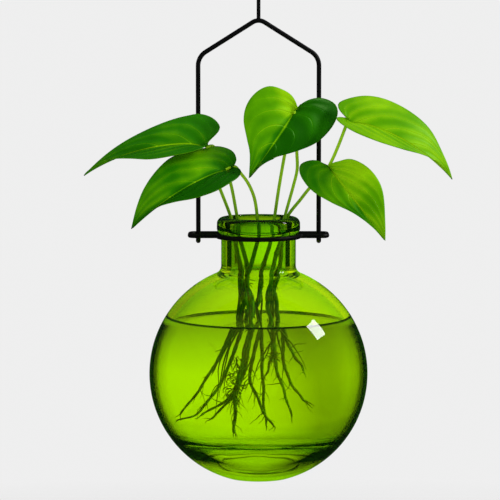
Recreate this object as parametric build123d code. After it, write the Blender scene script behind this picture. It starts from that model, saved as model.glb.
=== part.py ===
"""Hanging propagation vase: a green glass bottle vase with five rooted cuttings,
held by its lip in a wire collar that swings from a bent wire hanger.

Millimetres, +Z up, +X to the viewer's right, the viewer on the -Y side.
The origin is the inside top of the hanging hook, where the hanger rests on what holds it.
"""
import os
from math import asin, cos, degrees, radians, sin, sqrt, tan

from build123d import *

# Hanger: one thick wire for the frame and one thinner wire for the hook
frame_wire = 2.3
frame_half_width = 29.7
frame_leg_height = 88.2
frame_roof_rise = 18.7
frame_apex_bend = 5.5
frame_corner_bend = 8.0
hook_wire = 1.9
hook_inner_radius = 7.5
hook_neck_bend = 6.0
hook_stem_length = 32.0
hook_end_angle = 205.0
weld_depth = 0.5

# Collar: one wire, a ring with a narrow loop on each side
collar_wire = 2.3
ring_clearance = 0.6
ear_reach = 35.0
ear_width = 14.0
ear_root_bend = 1.8
ear_corner_bend = 2.8
pivot_clearance = 0.1
lip_seat_gap = 0.3

# Glass
bowl_radius = 54.0
bowl_wall = 3.5
base_thickness = 22.0
foot_radius = 15.5
foot_recess_radius = 11.0
foot_recess_depth = 0.8
floor_bend = 22.0
neck_radius = 18.4
neck_wall = 4.4
neck_length = 17.5
shoulder_bend = 4.5
lip_radius = 20.5
lip_height = 9.4
lip_under_bend = 2.7
lip_crest_bend = 3.2
mouth_flare = 3.2
mouth_flare_depth = 9.0
water_depth_below_ring = 41.7

# Cuttings
stem_radius = 0.85
bud_length = 7.0
root_radius = 0.6
main_root_radius = 0.95
leaf_thickness = 0.8
leaf_half_span_share = 0.6
leaf_shell_angle = 140.0
spray_half_width = 94.0
spray_depth = 52.0
spray_height = 64.0

# Heights and radii that follow from the sizes above, measured from the ring's centre
ring_radius = neck_radius + ring_clearance + collar_wire / 2
bore_radius = neck_radius - neck_wall
cavity_radius = bowl_radius - bowl_wall
bowl_centre_z = -neck_length - sqrt(bowl_radius**2 - neck_radius**2)
foot_z = bowl_centre_z - sqrt(bowl_radius**2 - foot_radius**2)
floor_z = foot_z + base_thickness
water_z = -water_depth_below_ring

# The prong of each ear rests in a leg's end hook, whose bend centre is the swing axis
pivot_bend = (collar_wire + frame_wire) / 2 + pivot_clearance
hook_centre_radius = hook_inner_radius + hook_wire / 2
hook_joint_radius = hook_centre_radius + hook_neck_bend
hook_base_z = -hook_inner_radius - sqrt(hook_joint_radius**2 - hook_neck_bend**2)
apex_drop = frame_apex_bend * (sqrt(1 + (frame_roof_rise / frame_half_width) ** 2) - 1)
apex_z = frame_leg_height + frame_roof_rise - apex_drop
ring_z = hook_base_z - hook_stem_length - apex_z
collar_place = Pos(0, -pivot_bend, ring_z)
cut_overrun = 2.0


def rod(points, radius, bends):
    """A round rod along straight runs joined by tangent arcs."""
    route = FilletPolyline(*points, radius=bends)
    return sweep(Plane(origin=route @ 0, z_dir=route % 0) * Circle(radius), path=route)


def soft_bends(points, run_share=0.45):
    """The largest bend radius that the two runs at each corner leave room for."""
    bends = []
    for before, corner, after in zip(points, points[1:], points[2:]):
        run_in = corner - before
        run_out = after - corner
        half_turn = radians(run_in.get_angle(run_out)) / 2
        bends.append(run_share * min(run_in.length, run_out.length) / tan(half_turn))
    return bends


def soft_rod(points, radius):
    """A stem or root: a rod whose bends are as wide as its runs allow."""
    if len(points) == 2:
        route = Line(*points)
        return sweep(Plane(origin=route @ 0, z_dir=route % 0) * Circle(radius), path=route)
    return rod(points, radius, soft_bends(points))


# Hanger


def make_hanger_frame():
    """A pointed frame of one wire whose legs end in small hooks turned to the front."""
    eaves_z = frame_leg_height
    peak_z = frame_leg_height + frame_roof_rise
    half = [
        Vector(0, 0, peak_z),
        Vector(frame_half_width, 0, eaves_z),
        Vector(frame_half_width, 0, 0),
    ]
    other_half = [Vector(-p.X, p.Y, p.Z) for p in reversed(half[1:])]
    bends = [frame_corner_bend, frame_apex_bend, frame_corner_bend]
    body = rod(other_half + half, frame_wire / 2, bends)
    for side in (1, -1):
        leg_x = side * frame_half_width
        bend = ThreePointArc(
            (leg_x, 0, 0),
            (leg_x, -pivot_bend, -pivot_bend),
            (leg_x, -2 * pivot_bend, 0),
        )
        section = Plane(origin=bend @ 0, z_dir=bend % 0) * Circle(frame_wire / 2)
        body += sweep(section, path=bend)
    return Pos(0, 0, ring_z) * body


def make_hanging_hook():
    """The thin rod that is welded to the roof and curls over into an open hook."""
    joint_angle = degrees(asin(hook_neck_bend / hook_joint_radius)) - 90
    centre_z = -hook_inner_radius

    def on_crown(angle):
        turn = radians(angle)
        return (hook_centre_radius * cos(turn), 0, centre_z + hook_centre_radius * sin(turn))

    foot = (0, 0, ring_z + apex_z + frame_wire / 2 - weld_depth)
    neck = (0, 0, hook_base_z)
    joint = on_crown(joint_angle)
    neck_mid_turn = radians((90 + joint_angle) / 2)
    neck_mid = (
        hook_neck_bend - hook_neck_bend * cos(neck_mid_turn),
        0,
        hook_base_z + hook_neck_bend * sin(neck_mid_turn),
    )
    quarter = (hook_end_angle - joint_angle) / 4
    stops = [on_crown(joint_angle + quarter * step) for step in range(5)]
    route = Wire(
        [
            Edge.make_line(foot, neck),
            Edge.make_three_point_arc(neck, neck_mid, joint),
            Edge.make_three_point_arc(stops[0], stops[1], stops[2]),
            Edge.make_three_point_arc(stops[2], stops[3], stops[4]),
        ]
    )
    body = sweep(Plane(origin=foot, z_dir=(0, 0, 1)) * Circle(hook_wire / 2), path=route)
    return body


# Collar


def make_collar_ring():
    """The ring's front half, a loop on each side and the ring's back half, in one wire."""
    corner_radius = ring_radius + ear_root_bend
    front_x = sqrt(corner_radius**2 - ear_root_bend**2)
    back_y = ear_width + ear_root_bend
    back_x = sqrt(corner_radius**2 - back_y**2)
    end_x = ear_reach - collar_wire / 2
    ring_share = ring_radius / corner_radius
    front_joint = Vector(front_x, -ear_root_bend) * ring_share
    back_joint = Vector(back_x, back_y) * ring_share

    def arc(centre, start, end):
        middle = ((start - centre).normalized() + (end - centre).normalized()).normalized()
        return Edge.make_three_point_arc(start, centre + middle * (start - centre).length, end)

    middle = Vector(0, 0)
    front_bend = Vector(front_x, -ear_root_bend)
    back_bend = Vector(back_x, back_y)
    front_line = Vector(front_x, 0)
    back_line = Vector(back_x, ear_width)
    front_low = Vector(0, -ring_radius)
    back_top = Vector(0, ring_radius)
    ear_end = FilletPolyline(
        front_line, Vector(end_x, 0), Vector(end_x, ear_width), back_line, radius=ear_corner_bend
    )
    route = Wire(
        [
            arc(middle, front_low, front_joint),
            arc(front_bend, front_joint, front_line),
            *ear_end.edges(),
            arc(back_bend, back_line, back_joint),
            arc(middle, back_joint, back_top),
        ]
    )
    section = Plane(origin=front_low, z_dir=(1, 0, 0)) * Circle(collar_wire / 2)
    half = sweep(section, path=route)
    return collar_place * (half + mirror(half, about=Plane.YZ))


# Glass and water


def half_plane_box(x0, x1, z0, z1):
    """A rectangle in the half section, given by its inner and outer radius and its heights."""
    return Pos((x0 + x1) / 2, (z0 + z1) / 2) * Rectangle(x1 - x0, z1 - z0)


def vertex_near(sketch, x, z):
    return sketch.vertices().sort_by_distance((x, z, 0))[0]


def outer_section():
    """Half section of the solid bottle: cut-off ball, neck and rolled lip."""
    tall = bowl_radius * 2
    ball = Pos(0, bowl_centre_z) * Circle(bowl_radius)
    ball &= half_plane_box(0, tall, foot_z, foot_z + 2 * tall)
    neck_low = bowl_centre_z + sqrt(bowl_radius**2 - neck_radius**2)
    shape = ball + half_plane_box(0, neck_radius, bowl_centre_z, lip_seat_z() + lip_under_bend)
    shape = fillet(vertex_near(shape, neck_radius, neck_low), shoulder_bend)
    lip = half_plane_box(bore_radius, lip_radius, lip_seat_z(), lip_height)
    lip = fillet(vertex_near(lip, lip_radius, lip_seat_z()), lip_under_bend)
    lip = fillet(vertex_near(lip, lip_radius, lip_height), lip_crest_bend)
    shape += lip
    recess = half_plane_box(0, foot_recess_radius, foot_z - cut_overrun, foot_z + foot_recess_depth)
    return shape - recess


def lip_seat_z():
    """Underside of the lip, so low that its rounded edge lies a seat gap above the ring's wire."""
    reach = collar_wire / 2 + lip_seat_gap + lip_under_bend
    inward = ring_radius - (lip_radius - lip_under_bend)
    return sqrt(reach**2 - inward**2) - lip_under_bend


def cavity_section():
    """Half section of the hollow: a ball with a flattened floor, the bore and the flared mouth."""
    tall = bowl_radius * 2
    ball = Pos(0, bowl_centre_z) * Circle(cavity_radius)
    ball &= half_plane_box(0, tall, floor_z, floor_z + 2 * tall)
    floor_corner = sqrt(cavity_radius**2 - (floor_z - bowl_centre_z) ** 2)
    ball = fillet(vertex_near(ball, floor_corner, floor_z), floor_bend)
    bore_low = bowl_centre_z + sqrt(cavity_radius**2 - bore_radius**2)
    hollow = ball + half_plane_box(0, bore_radius, bowl_centre_z, lip_height + cut_overrun)
    hollow = fillet(vertex_near(hollow, bore_radius, bore_low), shoulder_bend)
    flare_radius = bore_radius + mouth_flare
    flare_low = lip_height - mouth_flare_depth
    flare = half_plane_box(0, flare_radius, flare_low, lip_height + cut_overrun)
    roll = Pos(flare_radius, flare_low) * Ellipse(mouth_flare, mouth_flare_depth)
    return hollow + (flare - roll)


def turned(section):
    """The half section, drawn as radius and height, turned about the upright axis."""
    return revolve(Plane.XZ * section, axis=Axis.Z)


def make_glass_vase():
    return collar_place * turned(outer_section() - cavity_section())


def make_water():
    below = half_plane_box(0, bowl_radius, foot_z, water_z)
    return collar_place * turned(cavity_section() & below)


# Cuttings

# Leaf seats and tips: shares of the spray's half width, depth and height above the ring.
# Outline points: shares of the leaf's length, along it and across it, from notch to tip.
leaves = {
    "leaf_upper_left": {
        "seat_share": (-0.274, -0.69, 0.75),
        "tip_share": (-0.90, -0.54, 0.50),
        "roll": -52,
        "droop_share": 1.14,
        "cup_share": 6.5,
        "notch_share": (-0.01, -0.01),
        "near_side_shares": [
            (0.02, 0.07), (0.13, 0.14), (0.28, 0.17), (0.43, 0.155), (0.58, 0.09), (0.74, 0.01),
            (0.87, -0.015),
        ],
        "far_side_shares": [
            (-0.09, -0.10), (-0.12, -0.20), (-0.07, -0.30), (0.02, -0.335), (0.12, -0.30),
            (0.31, -0.23), (0.56, -0.15), (0.80, -0.07),
        ],
    },
    "leaf_lower_left": {
        "seat_share": (-0.173, -0.73, 0.57),
        "tip_share": (-0.647, -1.0, 0.128),
        "roll": -30,
        "droop_share": 1.1,
        "cup_share": 2.2,
        "notch_share": (-0.06, 0.01),
        "near_side_shares": [
            (-0.11, 0.05), (-0.10, 0.10), (-0.03, 0.15), (0.11, 0.185), (0.24, 0.19), (0.42, 0.15),
            (0.57, 0.08), (0.71, 0.02), (0.85, -0.01),
        ],
        "far_side_shares": [
            (-0.14, -0.03), (-0.17, -0.14), (-0.10, -0.23), (0.01, -0.26), (0.14, -0.275),
            (0.33, -0.32), (0.51, -0.29), (0.70, -0.215), (0.85, -0.12),
        ],
    },
    "leaf_centre": {
        "seat_share": (0.19, -0.54, 0.99),
        "tip_share": (-0.05, -0.77, 0.49),
        "roll": 8,
        "droop_share": 2.2,
        "cup_share": 1.47,
        "notch_share": (-0.02, 0.01),
        "near_side_shares": [
            (-0.13, 0.02), (-0.27, 0.11), (-0.36, 0.235), (-0.39, 0.38), (-0.31, 0.47),
            (-0.11, 0.49), (0.15, 0.43), (0.40, 0.28), (0.69, 0.06), (0.87, 0.01),
        ],
        "far_side_shares": [
            (-0.08, -0.06), (-0.115, -0.20), (-0.06, -0.405), (0.10, -0.505), (0.30, -0.52),
            (0.48, -0.45), (0.64, -0.30), (0.77, -0.165),
        ],
    },
    "leaf_upper_right": {
        "seat_share": (0.459, -0.58, 0.933),
        "tip_share": (1.0, -0.46, 0.466),
        "roll": 48,
        "droop_share": 1.1,
        "cup_share": 6.5,
        "notch_share": (-0.05, 0.0),
        "near_side_shares": [
            (-0.10, 0.09), (-0.105, 0.16), (-0.02, 0.24), (0.09, 0.295), (0.24, 0.32),
            (0.43, 0.305), (0.65, 0.25), (0.83, 0.13), (0.93, 0.06),
        ],
        "far_side_shares": [
            (-0.07, -0.03), (0.01, -0.115), (0.13, -0.165), (0.30, -0.175), (0.48, -0.13),
            (0.66, -0.05), (0.79, 0.0), (0.90, 0.015),
        ],
    },
    "leaf_lower_right": {
        "seat_share": (0.36, -0.60, 0.553),
        "tip_share": (0.646, -0.81, 0.023),
        "roll": 5,
        "droop_share": 1.34,
        "cup_share": 1.8,
        "notch_share": (-0.01, 0.01),
        "near_side_shares": [
            (-0.03, 0.06), (0.0, 0.13), (0.07, 0.25), (0.24, 0.33), (0.43, 0.34), (0.61, 0.28),
            (0.86, 0.11),
        ],
        "far_side_shares": [
            (-0.08, -0.005), (-0.19, -0.07), (-0.25, -0.19), (-0.20, -0.26), (-0.08, -0.295),
            (0.10, -0.29), (0.33, -0.21), (0.555, -0.10), (0.78, -0.03),
        ],
    },
}

# Stems, from the leaf down. Spray points are shares of the spray's sizes; mouth, throat and neck
# points are shares of the bore radius at their heights; bowl points are shares of the hollow's
# radius, measured from the bowl's centre. Roots go on from the stem's low end.
stems = {
    "upper_left": {
        "leaf": "leaf_upper_left",
        "spray_shares": [(-0.23, -0.47, 0.71), (-0.19, -0.33, 0.605), (-0.145, -0.25, 0.42)],
        "bore_shares": [(-0.74, -0.61), (-0.61, -0.50), (-0.37, -0.25)],
        "bowl_shares": [(-0.11, -0.06, 0.83), (-0.12, -0.04, 0.56), (-0.13, -0.02, 0.32)],
        "root_shares": [
            [(-0.27, -0.10, -0.03), (-0.47, -0.18, -0.285), (-0.63, -0.22, -0.36)],
        ],
    },
    "lower_left": {
        "leaf": "leaf_lower_left",
        "main_roots": 1,
        "spray_shares": [
            (-0.125, -0.61, 0.57), (-0.09, -0.52, 0.51), (-0.05, -0.41, 0.42),
            (-0.02, -0.31, 0.30),
        ],
        "bore_shares": [(-0.04, -0.91), (0.0, -0.72), (-0.34, -0.50)],
        "bowl_shares": [(-0.09, -0.12, 0.83), (-0.06, -0.13, 0.6), (-0.06, -0.12, 0.34)],
        "root_shares": [
            [(-0.11, -0.10, 0.10), (-0.17, -0.09, -0.11), (-0.18, -0.08, -0.475)],
            [(-0.11, -0.10, 0.02), (-0.24, -0.13, -0.18), (-0.45, -0.16, -0.31)],
            [(-0.12, -0.08, -0.02), (-0.24, -0.07, -0.22), (-0.36, -0.06, -0.345)],
        ],
    },
    "left_bud": {
        "leaf": None,
        "spray_shares": [(-0.24, -0.27, 0.53), (-0.2, -0.15, 0.37)],
        "bore_shares": [(-0.97, -0.25), (-0.84, -0.20), (-0.61, 0.0)],
        "bowl_shares": [(-0.16, 0.02, 0.83), (-0.17, 0.04, 0.6), (-0.17, 0.05, 0.34)],
        "root_shares": [
            [(-0.34, -0.02, 0.04), (-0.485, -0.06, -0.17), (-0.61, -0.10, -0.31)],
        ],
    },
    "middle_bud": {
        "leaf": None,
        "spray_shares": [(0.165, -0.33, 0.875), (0.136, -0.25, 0.645), (0.107, -0.155, 0.39)],
        "bore_shares": [(0.56, -0.32), (0.45, -0.22), (0.14, 0.07)],
        "bowl_shares": [(0.01, 0.04, 0.83), (0.0, 0.08, 0.6), (0.02, 0.10, 0.34)],
        "root_shares": [
            [(-0.06, 0.10, -0.02), (0.0, 0.12, -0.21), (0.10, 0.14, -0.415)],
            [(0.03, 0.14, -0.05), (0.05, 0.18, -0.40)],
        ],
    },
    "centre": {
        "leaf": "leaf_centre",
        "spray_shares": [
            (0.193, -0.48, 0.86), (0.197, -0.385, 0.67), (0.2, -0.29, 0.533), (0.18, -0.21, 0.395),
        ],
        "bore_shares": [(0.91, -0.43), (0.78, -0.33), (0.46, -0.21)],
        "bowl_shares": [(0.11, -0.05, 0.83), (0.10, -0.06, 0.6), (0.11, -0.05, 0.34)],
        "root_shares": [
            [(0.14, -0.08, 0.03), (0.20, -0.12, -0.135), (0.25, -0.14, -0.315)],
            [(0.10, -0.03, 0.14), (0.055, -0.04, -0.01)],
        ],
    },
    "right_vine": {
        "leaf": "leaf_upper_right",
        "side_leaf": "leaf_lower_right",
        "side_node": 2,
        "spray_shares": [
            (0.45, -0.52, 0.88), (0.362, -0.52, 0.57), (0.263, -0.29, 0.385),
            (0.218, -0.154, 0.29),
        ],
        "bore_shares": [(1.0, -0.20), (0.85, -0.16), (0.73, 0.04)],
        "bowl_shares": [(0.17, 0.02, 0.83), (0.17, 0.04, 0.6), (0.18, 0.06, 0.34)],
        "root_shares": [
            [(0.19, 0.08, 0.03), (0.30, 0.12, -0.19), (0.34, 0.14, -0.22)],
            [(0.235, 0.04, 0.175), (0.34, 0.02, 0.015)],
        ],
    },
}


def spray_point(share):
    return Vector(share[0] * spray_half_width, share[1] * spray_depth, share[2] * spray_height)


def bowl_point(share):
    return Vector(0, 0, bowl_centre_z) + Vector(*share) * cavity_radius


def leaf_plane(leaf):
    """The leaf's own plane: X from seat to tip, Z out of its upper face. Also its length."""
    seat = spray_point(leaf["seat_share"])
    chord = spray_point(leaf["tip_share"]) - seat
    along = chord.normalized()
    to_viewer = Vector(0, -1, 0)
    facing = (to_viewer - along * to_viewer.dot(along)).normalized()
    across = facing.cross(along)
    roll = radians(leaf["roll"])
    upper = facing * cos(roll) + across * sin(roll)
    return Plane(origin=seat, x_dir=along, z_dir=upper), chord.length


def make_leaf(leaf):
    """A heart-shaped outline cut out of a thin shell that droops along and cups across."""
    plane, length = leaf_plane(leaf)
    droop = leaf["droop_share"] * length
    cup = leaf["cup_share"] * length
    crown = droop - sqrt(droop**2 - (length / 2) ** 2)

    def flat(shares):
        return [(along * length, across * length) for along, across in shares]

    notch = flat([leaf["notch_share"]])
    tip = [(length, 0)]
    edges = [
        Spline(*(notch + flat(leaf["near_side_shares"]) + tip)),
        Spline(*(notch + flat(leaf["far_side_shares"]) + tip)),
    ]
    prism = extrude(make_face(edges), amount=length / 2, both=True)

    half_span = leaf_half_span_share * length
    sag = cup - sqrt(cup**2 - half_span**2)
    top = [Vector(0, -half_span, crown - sag), Vector(0, 0, crown), Vector(0, half_span, crown - sag)]
    low = [point - Vector(0, 0, leaf_thickness) for point in top]
    band = make_face(
        [
            Spline(*top),
            Line(top[2], low[2]),
            Spline(*low),
            Line(low[0], top[0]),
        ]
    )
    axis = Axis((0, 0, crown - droop), (0, 1, 0))
    shell = revolve(band, axis=axis, revolution_arc=leaf_shell_angle)
    shell = shell.rotate(axis, -leaf_shell_angle / 2)
    blade = prism & (Pos(length / 2, 0, 0) * shell)
    return collar_place * (plane.location * blade)


def leaf_underside(leaf_name):
    """The spot under a leaf's seat where its petiole ends, a little sunk into the leaf."""
    plane = leaf_plane(leaves[leaf_name])[0]
    return plane.origin - plane.z_dir * (leaf_thickness - stem_radius / 4)


def stem_points(stem):
    points = []
    if stem["leaf"]:
        points.append(leaf_underside(stem["leaf"]))
    points += [spray_point(share) for share in stem["spray_shares"]]
    heights = [lip_height, 0, -neck_length]
    for (x_share, y_share), height in zip(stem["bore_shares"], heights):
        points.append(Vector(x_share * bore_radius, y_share * bore_radius, height))
    points += [bowl_point(share) for share in stem["bowl_shares"]]
    return points


def make_stem(stem):
    """A petiole or stem, with a furled pointed bud on top where it carries no leaf."""
    points = stem_points(stem)
    body = soft_rod(points, stem_radius)
    if not stem["leaf"]:
        rise = (points[0] - points[1]).normalized()
        middle = points[0] + rise * (bud_length / 2)
        body += Plane(origin=middle, z_dir=rise) * Cone(stem_radius, stem_radius / 4, bud_length)
    if "side_leaf" in stem:
        node = stem["side_node"]
        fork = (points[node] + points[node + 1]) / 2
        body += soft_rod([fork, leaf_underside(stem["side_leaf"])], stem_radius)
    return collar_place * body


def make_roots(stem):
    """The roots below one stem, all growing out of its low end."""
    start = stem_points(stem)[-1]
    body = None
    for number, route in enumerate(stem["root_shares"]):
        radius = main_root_radius if number < stem.get("main_roots", 0) else root_radius
        root = soft_rod([start] + [bowl_point(share) for share in route], radius)
        body = root if body is None else body + root
    return collar_place * body


def write(name, shape):
    solids = shape.solids()
    whole = solids[0] if len(solids) == 1 else Compound(children=solids)
    export_step(whole, f"parts/{name}.step")


os.makedirs("parts", exist_ok=True)
write("hanging_hook", make_hanging_hook())
write("hanger_frame", make_hanger_frame())
write("collar_ring", make_collar_ring())
write("glass_vase", make_glass_vase())
write("water", make_water())
for leaf_name, leaf_table in leaves.items():
    write(leaf_name, make_leaf(leaf_table))
for stem_name, stem_table in stems.items():
    write(f"stem_{stem_name}", make_stem(stem_table))
    write(f"roots_{stem_name}", make_roots(stem_table))
print("ring height", ring_z, "foot height", ring_z + foot_z, "swing axis", -pivot_bend)
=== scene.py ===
"""Hanging propagation vase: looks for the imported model, in metres and in its frame."""
import random
from math import atan2, cos, exp, pi, radians, sin, sqrt

import bmesh
import bpy
from mathutils import Euler, Matrix, Vector


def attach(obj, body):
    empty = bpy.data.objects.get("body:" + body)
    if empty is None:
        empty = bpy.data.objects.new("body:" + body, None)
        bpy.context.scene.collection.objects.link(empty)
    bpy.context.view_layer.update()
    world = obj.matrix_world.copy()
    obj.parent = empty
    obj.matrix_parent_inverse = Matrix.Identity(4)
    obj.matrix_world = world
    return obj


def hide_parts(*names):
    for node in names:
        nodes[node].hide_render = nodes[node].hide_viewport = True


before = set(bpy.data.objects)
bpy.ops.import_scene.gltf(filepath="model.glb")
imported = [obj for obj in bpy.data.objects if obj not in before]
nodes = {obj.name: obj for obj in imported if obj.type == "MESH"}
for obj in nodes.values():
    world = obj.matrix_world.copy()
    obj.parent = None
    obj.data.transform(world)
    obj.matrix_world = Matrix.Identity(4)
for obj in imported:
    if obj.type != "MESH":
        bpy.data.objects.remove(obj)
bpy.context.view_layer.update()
scene = bpy.context.scene
mm = 0.001

# Sizes of the glass, in millimetres. Heights count from the middle of the collar's ring, which
# itself is at ring_height and swing_axis_y in the frame.
ring_height = -158.546
swing_axis_y = -2.4
bowl_radius = 54.0
bowl_wall = 3.5
base_thickness = 22.0
foot_radius = 15.5
foot_bend = 1.2
foot_recess_radius = 11.0
foot_recess_depth = 0.8
foot_recess_slope = 1.0
foot_edge_rise = 0.15
foot_edge_width = 0.3
floor_bend = 22.0
floor_ridges = (20.0, 13.0)
ridge_height = 0.2
ridge_half_width = 1.4
neck_radius = 18.4
neck_wall = 4.4
neck_length = 17.5
shoulder_bend = 4.5
lip_radius = 20.5
lip_height = 9.4
lip_underside = 1.2
lip_under_bend = 2.7
lip_crest_bend = 3.2
lip_inner_bend = 1.0
mouth_flare = 1.4
mouth_flare_start = 3.5
mouth_flare_end = 9.0
seam_gap = 0.0005

# Sizes of the water, in the same way
water_level = -41.7
water_overlap = 0.12
meniscus_rise = 0.9
meniscus_width = 1.1
meniscus_edge = 0.2
meniscus_shares = (0.15, 0.35, 0.6, 1.0)

# Sizes of the leaves and of the box that they all spread in, in millimetres, with half_span_share
# of a leaf's length and fold_middle_share of its fold
spray = Vector((94.0, 52.0, 64.0))
leaf_thickness = 0.8
blade_thickness = 0.45
blade_sink = 0.15
blade_wave = 0.35
notch_dip = 1.6
notch_dip_reach = 5.0
half_span_share = 0.6
fold_middle_share = 0.45
stem_under_leaf = 1.7
leaf_weld_gap = 0.01
grid_half_size = 0.5

# Where stems are palest above the lip, and roots youngest below the bowl's middle
pale_stem_rise = 20.0
young_root_depth = 22.0

# Depth of the fine relief that materials show, in millimetres
peel_relief = 0.04
glass_relief = 0.6
leaf_relief = 1.2
stem_relief = 0.3
root_relief = 0.3

bore_radius = neck_radius - neck_wall
cavity_radius = bowl_radius - bowl_wall
bowl_z = -neck_length - sqrt(bowl_radius**2 - neck_radius**2)
foot_z = bowl_z - sqrt(bowl_radius**2 - foot_radius**2)
floor_z = foot_z + base_thickness
bowl_centre = Vector((0, swing_axis_y, ring_height + bowl_z)) * mm
in_frame = Matrix.Translation(Vector((0, swing_axis_y, ring_height)) * mm) @ Matrix.Scale(mm, 4)

# Heights in the frame, in millimetres
waterline = ring_height + water_level
bowl_height = ring_height + bowl_z
foot_height = ring_height + foot_z
glass_floor_height = ring_height + floor_z
pale_stem_height = ring_height + lip_height + pale_stem_rise
young_root_height = bowl_height - young_root_depth

# Where the looks change: an effect goes from none to all between two offsets, in millimetres,
# from a height in the frame
glass_zones = {
    "in_air": (waterline, -1.0, 0.6),
    "in_neck": (ring_height, -16.0, -14.0),
    "in_lip": (ring_height, -0.5, 1.5),
    "below_shoulder": (ring_height, -23.0, -27.0),
    "over_bend": (ring_height, -24.0, -22.0),
    "under_neck": (ring_height, -15.0, -17.0),
    "in_bowl": (foot_height, 7.0, 12.0),
    "underneath": (foot_height, 9.0, 3.0),
    "below_floor_edge": (foot_height, 21.0, 17.0),
    "in_base": (glass_floor_height, 3.0, -3.0),
}
waterline_shade_zone = (waterline, -0.25, 0.1)

# The same, in offsets from the radius of the cavity
outside_zone = (cavity_radius, 1.0, 2.0)
wall_zone = (cavity_radius, -0.2, 0.0)


# Node trees


def add(tree, kind, settings=None, **inputs):
    """One node with its settings and inputs. An input is a value or another node's socket."""
    node = tree.nodes.new(kind)
    for key, value in (settings or {}).items():
        setattr(node, key, value)
    for key, value in inputs.items():
        label = int(key[3:]) if key.startswith("in_") else key.replace("_", " ")
        socket = node.inputs[label]
        if isinstance(value, bpy.types.NodeSocket):
            tree.links.new(value, socket)
        else:
            socket.default_value = value
    return node


def math_node(tree, operation, first, second=0.0, clamp=False):
    settings = {"operation": operation, "use_clamp": clamp}
    return add(tree, "ShaderNodeMath", settings, in_0=first, in_1=second).outputs[0]


def times(tree, first, second, clamp=False):
    return math_node(tree, "MULTIPLY", first, second, clamp)


def minus(tree, first, second, clamp=False):
    return math_node(tree, "SUBTRACT", first, second, clamp)


def add_share(tree, total, value, share, clamp=False):
    """The total with a share of one more value added."""
    settings = {"operation": "MULTIPLY_ADD", "use_clamp": clamp}
    return add(tree, "ShaderNodeMath", settings, in_0=value, in_1=share, in_2=total).outputs[0]


def remap(tree, value, low, high, source=(0.0, 1.0)):
    """Runs from low to high while the value runs through its source range."""
    ranges = {"From_Min": source[0], "From_Max": source[1], "To_Min": low, "To_Max": high}
    return add(tree, "ShaderNodeMapRange", Value=value, **ranges).outputs[0]


def zone(tree, level, start, first, last):
    """Goes from 0 to 1 between two offsets from a start, all in millimetres."""
    return remap(tree, level, 0.0, 1.0, source=((start + first) * mm, (start + last) * mm))


def blend(tree, share, low, high):
    node = add(tree, "ShaderNodeMix", {"data_type": "RGBA"}, in_0=share, in_6=low, in_7=high)
    return node.outputs[2]


def ramp(tree, value, stops):
    """A colour ramp of (place, colour) stops."""
    node = add(tree, "ShaderNodeValToRGB", in_0=value)
    elements = node.color_ramp.elements
    while len(elements) < len(stops):
        elements.new(0.5)
    for element, (place, colour) in zip(elements, stops):
        element.position = place
        element.color = colour
    return node.outputs["Color"]


def grey(value):
    return (value, value, value, 1.0)


def grey_ramp(tree, value, stops):
    """A ramp of (place, brightness) stops."""
    return ramp(tree, value, [(place, grey(brightness)) for place, brightness in stops])


def noise(tree, coordinates, scale, detail=3.0, roughness=0.5):
    settings = {"Scale": scale, "Detail": detail, "Roughness": roughness}
    return add(tree, "ShaderNodeTexNoise", Vector=coordinates, **settings).outputs["Fac"]


def stretched_noise(tree, coordinates, scales, detail):
    """Noise with a scale of its own along each axis."""
    stretched = add(tree, "ShaderNodeMapping", Vector=coordinates, Scale=scales).outputs[0]
    return noise(tree, stretched, scale=1.0, detail=detail)


def object_coordinates(tree):
    return add(tree, "ShaderNodeTexCoord").outputs["Object"]


def new_material(name):
    """An empty node material and its tree."""
    material = bpy.data.materials.new(name)
    material.use_nodes = True
    tree = material.node_tree
    tree.nodes.clear()
    return material, tree


def height_in(tree, coordinates):
    return add(tree, "ShaderNodeSeparateXYZ", in_0=coordinates).outputs[2]


def from_bowl_centre(tree, coordinates):
    settings = {"operation": "DISTANCE"}
    node = add(tree, "ShaderNodeVectorMath", settings, in_0=coordinates, in_1=bowl_centre)
    return node.outputs["Value"]


def bump(tree, height, strength, relief):
    """A normal that follows a height from 0 to 1, with its relief in millimetres."""
    settings = {"Strength": strength, "Distance": relief * mm}
    return add(tree, "ShaderNodeBump", Height=height, **settings).outputs["Normal"]


def principled(tree, **inputs):
    return add(tree, "ShaderNodeBsdfPrincipled", **inputs).outputs[0]


def back_of_surface(tree):
    return add(tree, "ShaderNodeNewGeometry").outputs["Backfacing"]


def mix_shaders(tree, share, first, second):
    return add(tree, "ShaderNodeMixShader", in_0=share, in_1=first, in_2=second).outputs[0]


def clear_to_shadows(tree, body, colour):
    """The body's shader, which lets light of a colour through wherever it would cast a shadow."""
    clear = add(tree, "ShaderNodeBsdfTransparent", Color=colour).outputs[0]
    in_shadow = add(tree, "ShaderNodeLightPath").outputs["Is Shadow Ray"]
    return mix_shaders(tree, in_shadow, body, clear)


def surface(tree, shader):
    output = add(tree, "ShaderNodeOutputMaterial")
    tree.links.new(shader, output.inputs["Surface"])
    return output


# Materials


def make_black_wire():
    """Black powder coat: a fine orange-peel skin with a few duller and dustier places."""
    material, tree = new_material("black_wire")
    place = object_coordinates(tree)
    peel = noise(tree, place, scale=1400.0, detail=2.0)
    patches = noise(tree, place, scale=90.0, detail=4.0, roughness=0.6)
    tone = blend(tree, patches, (0.0025, 0.0025, 0.003, 1), (0.005, 0.005, 0.0055, 1))
    dull = remap(tree, patches, low=0.38, high=0.50)
    skin = bump(tree, peel, strength=0.02, relief=peel_relief)
    surface(tree, principled(tree, Base_Color=tone, Roughness=dull, Normal=skin, Specular_IOR_Level=0.28))
    return material


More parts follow.
